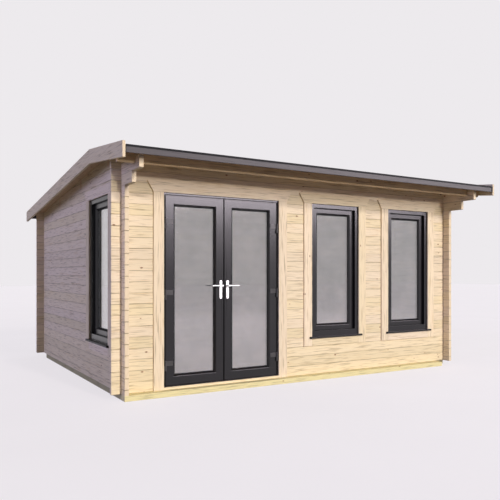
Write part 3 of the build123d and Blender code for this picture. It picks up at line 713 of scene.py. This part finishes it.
def make_roof_boards(sizes):
    """Both slopes' boards, tongued together, each over the length of its slope."""
    for side in ("front", "rear"):
        node = "roof_boards_" + side
        low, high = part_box(node)
        corners = [vertex.co for vertex in frame["nodes"][node].data.vertices]
        near = [corner.z for corner in corners if abs(corner.y - low.y) < MM]
        far = [corner.z for corner in corners if abs(corner.y - high.y) < MM]
        width = (high.x - low.x) / sizes.roof_boards
        piece = board_run(
            "roof_boarding_" + side,
            (low.x, low.y, min(near)), (low.x + width, high.y, max(near)),
            (width, 0), sizes.roof_boards, max(far) - max(near), sizes.board_edge,
        )
        fitted(coated(piece, MATERIALS["roof"]), "cabin", "roof_timber", node)


def make_floor_boards(sizes):
    """The floor's boards, across the joists."""
    low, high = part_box("floor_boards")
    width = (high.y - low.y) / sizes.floor_boards
    piece = board_run(
        "floor_boarding", low, (high.x, low.y + width, high.z),
        (0, width), sizes.floor_boards, 0, sizes.board_edge,
    )
    fitted(coated(piece, MATERIALS["floor"]), "cabin", "floor_timber", "floor_boards")


def make_trims(sizes):
    """Trim boards round doors and windows with pencil-round edges, each with the grain along its length."""
    for node in ("door_trims", "front_window_trims", "side_window_trims"):
        boards = loose_solids(node)
        for number, board in enumerate(boards):
            low, high = span(board)
            size = high - low
            longest = "xyz"[max(range(3), key=lambda n: size[n])]
            rounded(board, sizes.board_edge, 2)
            coated(board, MATERIALS["trim_" + longest])
            tag = board.data.attributes.new("board", "FLOAT", "FACE")
            for face in tag.data:
                face.value = number + len(node)
        fitted(joined(node.replace("_trims", "_trim_boards"), boards), "cabin", "trim_timber", node)

    # A strip of spruce covers the foot of the door frame between the two upright boards
    low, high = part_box("door_frame")
    lap = 18 * MM
    thick = 18 * MM
    tall = 26 * MM
    start = low + Vector((lap + PLAY, -thick, PLAY))
    end = Vector((high.x - lap - PLAY, low.y - PLAY, low.z + tall))
    strip = rounded(cube("door_foot_strip", start, end), sizes.board_edge, 2)
    fitted(coated(strip, MATERIALS["trim_x"]), "cabin", "trim_timber")


# Glazing

def sealed_unit(name, low, high, sizes):
    """Two panes with a spacer between them and a seal on each face, in the box of one glass solid."""
    axis = thin_axis(low, high)
    depth = high[axis] - low[axis]
    pane, stand = sizes.pane, sizes.seal_stand
    sheets = []
    for label, start in (("outer", 0), ("inner", depth - pane)):
        sheet = cube(name + "_" + label, *slab(low, high, axis, start, start + pane))
        sheets.append(rounded(sheet, THIN_EDGE, 1))
    spacer = flat_ring(name + "_spacer", *slab(low, high, axis, pane, depth - pane), axis,
                       GLASS_EDGE + sizes.spacer / 2)
    rounded(spacer, 0.5 * MM, 1)
    seen = shrunk(low, high, axis, GLASS_EDGE)
    seals = []
    for start in (-stand, depth):
        seal = flat_ring(name + "_seal", *slab(*seen, axis, start, start + stand), axis, sizes.seal)
        seals.append(rounded(seal, SEAL_EDGE, 2))
    return sheets, spacer, seals


def make_glazing(sizes):
    """Sealed units in every window and door leaf, with their spacer bars and seals."""
    homes = {
        "front_window": "cabin",
        "side_window": "cabin",
        "left_leaf": "left_leaf",
        "right_leaf": "right_leaf",
    }
    for base, body in homes.items():
        node = base + "_glass"
        sheets, spacers, seals = [], [], []
        for low, high in solid_spans(node):
            unit_sheets, spacer, unit_seals = sealed_unit(base, low, high, sizes)
            sheets += unit_sheets
            spacers.append(spacer)
            seals += unit_seals
        fitted(coated(joined(base + "_panes", sheets), MATERIALS["glass"]), body, "glass", node)
        fitted(coated(joined(base + "_spacers", spacers), MATERIALS["spacer"]), body, "window_frame")
        fitted(coated(joined(base + "_seals", seals), MATERIALS["seal"]), body, "window_frame")


def make_frame_seals_and_shade_strips(sizes):
    """Rubber seals where each sash meets its frame outside, and a black strip beside each door leaf, which
    paints the shade of the gap beside the leaf.
    """
    stand = sizes.seal_stand
    for node, outward in (("front_window_sashes", 1), ("side_window_sash", 0)):
        seals = []
        for low, high in solid_spans(node):
            box = slab(low, high, outward, -stand, 0)
            seals.append(rounded(flat_ring(node + "_seal", *box, outward, sizes.seal), SEAL_EDGE, 2))
        piece = joined(node + "_seal", seals)
        fitted(coated(piece, MATERIALS["seal"]), "cabin", "window_frame")

    # The doors' side strips are thin black rubber strips on the frame's face, just outside the gap beside
    # the leaves. They paint the shade of that gap
    gap = 2 * MM
    width = 14 * MM
    thin = 0.8 * MM
    low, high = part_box("left_leaf")[0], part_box("right_leaf")[1]
    strips = []
    for x in (low.x - gap - width, high.x + gap):
        strip = cube("strip", (x, low.y - thin, low.z), (x + width, low.y, high.z))
        strips.append(rounded(strip, 0.3 * MM, 1))
    fitted(coated(joined("door_side_shade_strips", strips), MATERIALS["seal"]), "cabin", "window_frame")


# Door furniture

def stub(name, diameter, x, face, outward, reach, height, sides):
    """A round piece on a plate, between two distances from the plate's face."""
    start, end = (Vector((x, face + outward * stand, height)) for stand in reach)
    return cylinder(name, diameter, start, end, sides)


def block(name, half_width, x, face, outward, reach, bottom, top):
    """A square piece on a plate, between two distances from the plate's face."""
    near, far = sorted(face + outward * stand for stand in reach)
    return cube(name, (x - half_width, near, bottom), (x + half_width, far, top))


def lock_cylinder(x, face, outward, height):
    """A profile cylinder, a round plug over a narrow tail standing 3 mm off the plate, and its keyway: a
    thin black bar on the plug's face that paints the shade in the slot.
    """
    reach = (-0.5 * MM, 3 * MM)
    keyway_shade_reach = (2.3 * MM, 2.6 * MM)
    plug = stub("plug", 17 * MM, x, face, outward, reach, height, 32)
    recess_end(plug, (0, outward, 0), 1.6 * MM, 0.6 * MM)
    tail = block("tail", 5 * MM, x, face, outward, reach, height - 24 * MM, height - 5 * MM)
    # The keyway is a thin black bar on the plug's face: painted shade of the slot
    keyway_shade = block("keyway_shade", 0.8 * MM, x, face, outward, keyway_shade_reach, height - 4 * MM, height + 4 * MM)
    parts = [rounded(plug, 0.4 * MM, 1, 50), rounded(tail, 1.5 * MM, 2)]
    return parts, rounded(keyway_shade, 0.1 * MM, 1)


def make_door_furniture():
    """Profile cylinders, plate screws and neck collars on both leaves, outside and inside."""
    key_drop = 92 * MM
    screw_inset = 16 * MM
    screw_reach = (-0.3 * MM, 0.8 * MM)
    collar_reach = (PLAY, 4 * MM)
    plate_low, plate_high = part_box("left_backplates")
    spindle = (plate_low.x + plate_high.x) / 2
    screw_heights = (plate_low.z + screw_inset, plate_high.z - screw_inset)
    for side, x in (("left", spindle), ("right", 2 * DOOR_MIDDLE - spindle)):
        cylinders, keyway_shades, screws, collars = [], [], [], []
        for face, outward in ((plate_low.y, -1), (plate_high.y, 1)):
            parts, keyway_shade = lock_cylinder(x, face, outward, LEVER_HEIGHT - key_drop)
            cylinders += parts
            keyway_shades.append(keyway_shade)
            for height in screw_heights:
                head = stub("head", 7 * MM, x, face, outward, screw_reach, height, 16)
                recess_end(head, (0, outward, 0), 1.6 * MM, 0.5 * MM)
                screws.append(rounded(head, 0.3 * MM, 1, 50))
            collar = stub("collar", 26 * MM, x, face, outward, collar_reach, LEVER_HEIGHT, 32)
            collars.append(rounded(collar, 1.2 * MM, 2, 50))
        leaf, lever, steel = side + "_leaf", side + "_lever", MATERIALS["steel"]
        fitted(coated(joined(side + "_lock_cylinders", cylinders), steel), leaf, "lever_metal")
        # The keyways are black bars of painted shade
        fitted(coated(joined(side + "_keyway_shades", keyway_shades), MATERIALS["seal"]), leaf, "lever_metal")
        fitted(coated(joined(side + "_plate_screws", screws), steel), leaf, "lever_metal")
        fitted(coated(joined(side + "_lever_collars", collars), steel), lever, "lever_metal")


def make_hinge_caps():
    """Domed caps over each hinge's pin and under its knuckle, and covered screws in each flag."""
    knuckle = 18 * MM
    cap_height = 6 * MM
    cap_edge = 3 * MM
    flag_thickness = 3 * MM
    gap = 0.2 * MM
    cover_height = 1.6 * MM
    cover_reaches = (44 * MM, 72 * MM)
    cover_inset = 13 * MM
    for side, sign in (("left", 1), ("right", -1)):
        tops, covers, feet = [], [], []
        flags = solid_spans(side + "_leaf_flags")
        plates = [box for box in solid_spans("door_frame_hinges") if sign * (box[0].x - DOOR_MIDDLE) < 0]
        for low, high in flags:
            x = low.x + knuckle / 2 if sign > 0 else high.x - knuckle / 2
            y = low.y + knuckle / 2
            cap = cylinder("cap", knuckle, (x, y, high.z + gap), (x, y, high.z + cap_height), 24)
            tops.append(rounded(cap, cap_edge, 3, 50))
            face = high.y - flag_thickness
            for reach in cover_reaches:
                for height in (low.z + cover_inset, high.z - cover_inset):
                    start = Vector((x + sign * reach, face + gap, height))
                    cover = cylinder("cover", 9 * MM, start, start - Vector((0, cover_height, 0)), 16)
                    covers.append(rounded(cover, 0.7 * MM, 2, 50))
        for low, high in plates:
            x = high.x - knuckle / 2 if sign > 0 else low.x + knuckle / 2
            y = low.y + knuckle / 2
            cap = cylinder("cap", knuckle, (x, y, low.z - cap_height), (x, y, low.z), 24)
            feet.append(rounded(cap, cap_edge, 3, 50))
        leaf, metal = side + "_leaf", MATERIALS["hinge"]
        fitted(coated(joined(side + "_hinge_top_caps", tops), metal), leaf, "hinge_metal")
        fitted(coated(joined(side + "_hinge_screw_covers", covers), metal), leaf, "hinge_metal")
        fitted(coated(joined(side + "_hinge_foot_caps", feet), metal), "cabin", "hinge_metal")


# Small pieces on the outside

def make_sill_ends():
    """Moulded caps over both ends of each sill, a little taller than the sill's edge."""
    thick = 2.5 * MM
    drop = 2 * MM
    rise = 1 * MM
    caps = []
    for node, axis in (("front_window_sills", 0), ("side_window_sill", 1)):
        for low, high in solid_spans(node):
            length = high[axis] - low[axis]
            for start in (-thick, length):
                first, last = slab(low, high, axis, start, start + thick)
                first.z -= drop
                last.z += rise
                caps.append(rounded(cube("cap", first, last), THIN_EDGE, 2))
    fitted(coated(joined("sill_end_caps", caps), MATERIALS["seal"]), "cabin", "sill_metal")


def make_verge_screws(sizes):
    """Pairs of countersunk screws along the bargeboards, one near each edge of the board."""
    bottom_inset = 28 * MM
    top_inset = 50 * MM
    sunk = 0.4 * MM
    proud = 0.1 * MM
    screws = []
    for node, outward in (("left_bargeboards", -1), ("right_bargeboards", 1)):
        for low, high in solid_spans(node):
            mesh = frame["nodes"][node].data
            face = low.x if outward < 0 else high.x
            ends = []
            for y in (low.y, high.y):
                heights = [vertex.co.z for vertex in mesh.vertices if abs(vertex.co.y - y) < MM]
                ends.append((min(heights), max(heights)))
            count = max(2, round((high.y - low.y) / sizes.screw_spacing))
            for n in range(count):
                share = (n + 0.5) / count
                y = low.y + share * (high.y - low.y)
                bottom, top = (first + share * (last - first) for first, last in zip(*ends))
                for height in (bottom + bottom_inset, top - top_inset):
                    start = Vector((face - outward * sunk, y, height))
                    end = start + Vector((outward * (sunk + proud), 0, 0))
                    head = cylinder("head", sizes.screw, start, end, 12)
                    recess_end(head, (outward, 0, 0), 2.2 * MM, 0.4 * MM)
                    screws.append(head)
    fitted(coated(joined("verge_screws", screws), MATERIALS["screws"]), "cabin", "trim_timber")


def make_membrane_folds():
    """The membrane's folded edge, turned down over the top and both ends of each fascia. The fold at the
    right end is wider than the one at the left."""
    thick = 2 * MM
    drop = 16 * MM
    left_lap = 8 * MM
    right_lap = 24 * MM
    folds = []
    for node, outward in (("front_fascia", -1), ("rear_fascia", 1)):
        low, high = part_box(node)
        mesh = frame["nodes"][node].data
        face = low.y if outward < 0 else high.y
        top = min(vertex.co.z for vertex in mesh.vertices if vertex.co.z > (low.z + high.z) / 2)
        near, far = sorted((face, face + outward * thick))
        drip = top - drop
        folds.append(rounded(cube("fold", (low.x, near, drip), (high.x, far, top)), THIN_EDGE, 2))
        for left, right in ((low.x, low.x + left_lap), (high.x - right_lap, high.x)):
            fold = cube("fold", (left, near, low.z), (right, far, drip - PLAY))
            folds.append(rounded(fold, THIN_EDGE, 2))
    fitted(coated(joined("membrane_folds", folds), MATERIALS["membrane"]), "cabin", "membrane")


# Stage

def aimed_sun(name, azimuth, elevation, strength, softness, colour):
    """A sun lamp that shines from a bearing to the right of straight in front, and a height."""
    azimuth, elevation = math.radians(azimuth), math.radians(elevation)
    toward = Vector((
        math.sin(azimuth) * math.cos(elevation),
        -math.cos(azimuth) * math.cos(elevation),
        math.sin(elevation),
    ))
    deselect()
    bpy.ops.object.light_add(type="SUN", location=toward * SUN_DISTANCE)
    lamp = bpy.context.object
    lamp.name = name
    lamp.rotation_euler = toward.to_track_quat("Z", "Y").to_euler()
    lamp.data.energy = strength
    lamp.data.angle = math.radians(softness)
    lamp.data.color = linear(colour)[:3]
    lamp.visible_glossy = False
    lamp.visible_transmission = False


def softbox():
    """One long soft lamp high in front. It only shows in reflections, as a sheen on frames and glass."""
    deselect()
    place = Vector(SOFTBOX_PLACE)
    bpy.ops.object.light_add(type="AREA", location=place)
    lamp = bpy.context.object
    lamp.name = "softbox"
    lamp.rotation_euler = (place - Vector(SOFTBOX_AIM)).to_track_quat("Z", "Y").to_euler()
    lamp.data.shape = "RECTANGLE"
    lamp.data.size, lamp.data.size_y = SOFTBOX_SIZE
    lamp.data.energy = SOFTBOX_POWER
    lamp.data.color = linear(SOFTBOX_COLOUR)[:3]
    lamp.visible_camera = False
    lamp.visible_diffuse = False


def make_floor():
    """A pale floor that meets the backdrop's tone and keeps a faint shadow."""
    deselect()
    bpy.ops.mesh.primitive_plane_add(size=FLOOR_SIZE, location=(0, 0, 0))
    floor = bpy.context.object
    floor.name = "floor"
    material, tree, shader, place = new_material("Pale floor")
    sweep = noise(tree, place, 1.4, 2.0)
    tones = ramp(tree, sweep, tuple(zip((0.3, 0.7), FLOOR_TONES)))
    tree.links.new(tones, shader.inputs["Base Color"])
    shader.inputs["Roughness"].default_value = 0.9
    shader.inputs["Emission Color"].default_value = linear(FLOOR_GLOW_COLOUR)
    glow = sum_of(tree, "MULTIPLY", seen_rays(tree), FLOOR_GLOW)
    tree.links.new(glow, shader.inputs["Emission Strength"])
    coated(floor, material)


def seen_rays(tree):
    """1 for the rays that show the backdrop: camera, glossy and transmission rays."""
    path = add(tree, "LightPath").outputs
    seen = sum_of(tree, "MAXIMUM", path["Is Glossy Ray"], path["Is Transmission Ray"])
    return sum_of(tree, "MAXIMUM", path["Is Camera Ray"], seen)


def make_stage():
    """Pale floor, soft light and the camera where the photograph was taken."""
    make_floor()
    world = bpy.data.worlds.new("Studio")
    bpy.context.scene.world = world
    world.use_nodes = True
    tree = world.node_tree
    tree.nodes.clear()
    fill = add(tree, "Background", {"Color": linear(FILL_COLOUR), "Strength": FILL_STRENGTH}).outputs[0]
    backdrop = add(tree, "Background", {"Color": linear(BACKDROP), "Strength": 1.0}).outputs[0]
    both = add(tree, "MixShader", {0: seen_rays(tree), 1: fill, 2: backdrop}).outputs[0]
    add(tree, "OutputWorld", {"Surface": both})
    for name, settings in SUNS.items():
        aimed_sun(name, *settings)
    softbox()

    bpy.ops.object.camera_add(
        location=CAMERA_PLACE,
        rotation=(math.radians(90), 0, -math.atan2(CAMERA_FORWARD[0], CAMERA_FORWARD[1])),
    )
    camera = bpy.context.object
    camera.data.sensor_width = SENSOR_WIDTH
    camera.data.lens = CAMERA_LENS
    camera.data.shift_y = CAMERA_SHIFT
    bpy.context.scene.camera = camera
    bpy.context.scene.view_settings.view_transform = "Standard"


class LOGCABIN_OT_finishes(bpy.types.Operator):
    """Make the materials and give every node its finish"""

    bl_idname = "logcabin.finishes"
    bl_label = "Finishes"

    def execute(self, context):
        make_materials(context.scene.log_cabin_colours)
        finish_nodes(context.scene.log_cabin_sizes)
        return {"FINISHED"}


class LOGCABIN_OT_roof_boards(bpy.types.Operator):
    """Lay the roof boards of both slopes"""

    bl_idname = "logcabin.roof_boards"
    bl_label = "Roof boards"

    def execute(self, context):
        make_roof_boards(context.scene.log_cabin_sizes)
        return {"FINISHED"}


class LOGCABIN_OT_floor_boards(bpy.types.Operator):
    """Lay the floor boards"""

    bl_idname = "logcabin.floor_boards"
    bl_label = "Floor boards"

    def execute(self, context):
        make_floor_boards(context.scene.log_cabin_sizes)
        return {"FINISHED"}


class LOGCABIN_OT_trims(bpy.types.Operator):
    """Make the trim boards round doors and windows, and the strip under the doors"""

    bl_idname = "logcabin.trims"
    bl_label = "Trim boards"

    def execute(self, context):
        make_trims(context.scene.log_cabin_sizes)
        return {"FINISHED"}


class LOGCABIN_OT_glazing(bpy.types.Operator):
    """Glaze the windows and doors with sealed units"""

    bl_idname = "logcabin.glazing"
    bl_label = "Glazing"

    def execute(self, context):
        make_glazing(context.scene.log_cabin_sizes)
        return {"FINISHED"}


class LOGCABIN_OT_frame_seals(bpy.types.Operator):
    """Fit the rubber seals of the sashes, and the black strips beside the doors that paint the shade of the
    gap
    """

    bl_idname = "logcabin.frame_seals"
    bl_label = "Frame seals"

    def execute(self, context):
        make_frame_seals_and_shade_strips(context.scene.log_cabin_sizes)
        return {"FINISHED"}


class LOGCABIN_OT_door_furniture(bpy.types.Operator):
    """Fit the doors' cylinders, screws and collars"""

    bl_idname = "logcabin.door_furniture"
    bl_label = "Door furniture"

    def execute(self, context):
        make_door_furniture()
        return {"FINISHED"}


class LOGCABIN_OT_hinge_caps(bpy.types.Operator):
    """Cap the hinges and cover their screws"""

    bl_idname = "logcabin.hinge_caps"
    bl_label = "Hinge caps"

    def execute(self, context):
        make_hinge_caps()
        return {"FINISHED"}


class LOGCABIN_OT_sill_ends(bpy.types.Operator):
    """Cap the ends of the sills"""

    bl_idname = "logcabin.sill_ends"
    bl_label = "Sill ends"

    def execute(self, context):
        make_sill_ends()
        return {"FINISHED"}


class LOGCABIN_OT_verge_screws(bpy.types.Operator):
    """Screw the bargeboards on"""

    bl_idname = "logcabin.verge_screws"
    bl_label = "Verge screws"

    def execute(self, context):
        make_verge_screws(context.scene.log_cabin_sizes)
        return {"FINISHED"}


class LOGCABIN_OT_membrane_folds(bpy.types.Operator):
    """Fold the membrane's edges down over the fascias"""

    bl_idname = "logcabin.membrane_folds"
    bl_label = "Membrane folds"

    def execute(self, context):
        make_membrane_folds()
        return {"FINISHED"}


class LOGCABIN_OT_stage(bpy.types.Operator):
    """Set the floor, the light and the camera"""

    bl_idname = "logcabin.stage"
    bl_label = "Stage"

    def execute(self, context):
        make_stage()
        return {"FINISHED"}


STEPS = (
    LOGCABIN_OT_finishes,
    LOGCABIN_OT_roof_boards,
    LOGCABIN_OT_floor_boards,
    LOGCABIN_OT_trims,
    LOGCABIN_OT_glazing,
    LOGCABIN_OT_frame_seals,
    LOGCABIN_OT_door_furniture,
    LOGCABIN_OT_hinge_caps,
    LOGCABIN_OT_sill_ends,
    LOGCABIN_OT_verge_screws,
    LOGCABIN_OT_membrane_folds,
    LOGCABIN_OT_stage,
)


class LOGCABIN_PT_panel(bpy.types.Panel):
    """Sizes, colours and the steps that dress the cabin"""

    bl_idname = "LOGCABIN_PT_panel"
    bl_label = "Log cabin"
    bl_space_type = "VIEW_3D"
    bl_region_type = "UI"
    bl_category = "Log cabin"

    def draw(self, context):
        column = self.layout.column()
        for settings in (context.scene.log_cabin_sizes, context.scene.log_cabin_colours):
            for name in settings.__annotations__:
                column.prop(settings, name)
        for step in STEPS:
            column.operator(step.bl_idname)


CLASSES = (LogCabinSizes, LogCabinColours, *STEPS, LOGCABIN_PT_panel)


def register():
    """Add the classes and the scene's settings."""
    for made in CLASSES:
        bpy.utils.register_class(made)
    bpy.types.Scene.log_cabin_sizes = PointerProperty(type=LogCabinSizes)
    bpy.types.Scene.log_cabin_colours = PointerProperty(type=LogCabinColours)


def unregister():
    """Take the classes and the settings away."""
    del bpy.types.Scene.log_cabin_colours
    del bpy.types.Scene.log_cabin_sizes
    for made in reversed(CLASSES):
        bpy.utils.unregister_class(made)


def main():
    """Dress the cabin, step by step."""
    register()
    bpy.ops.logcabin.finishes()
    bpy.ops.logcabin.roof_boards()
    bpy.ops.logcabin.floor_boards()
    bpy.ops.logcabin.trims()
    bpy.ops.logcabin.glazing()
    bpy.ops.logcabin.frame_seals()
    bpy.ops.logcabin.door_furniture()
    bpy.ops.logcabin.hinge_caps()
    bpy.ops.logcabin.sill_ends()
    bpy.ops.logcabin.verge_screws()
    bpy.ops.logcabin.membrane_folds()
    bpy.ops.logcabin.stage()


if __name__ == "__main__":
    main()
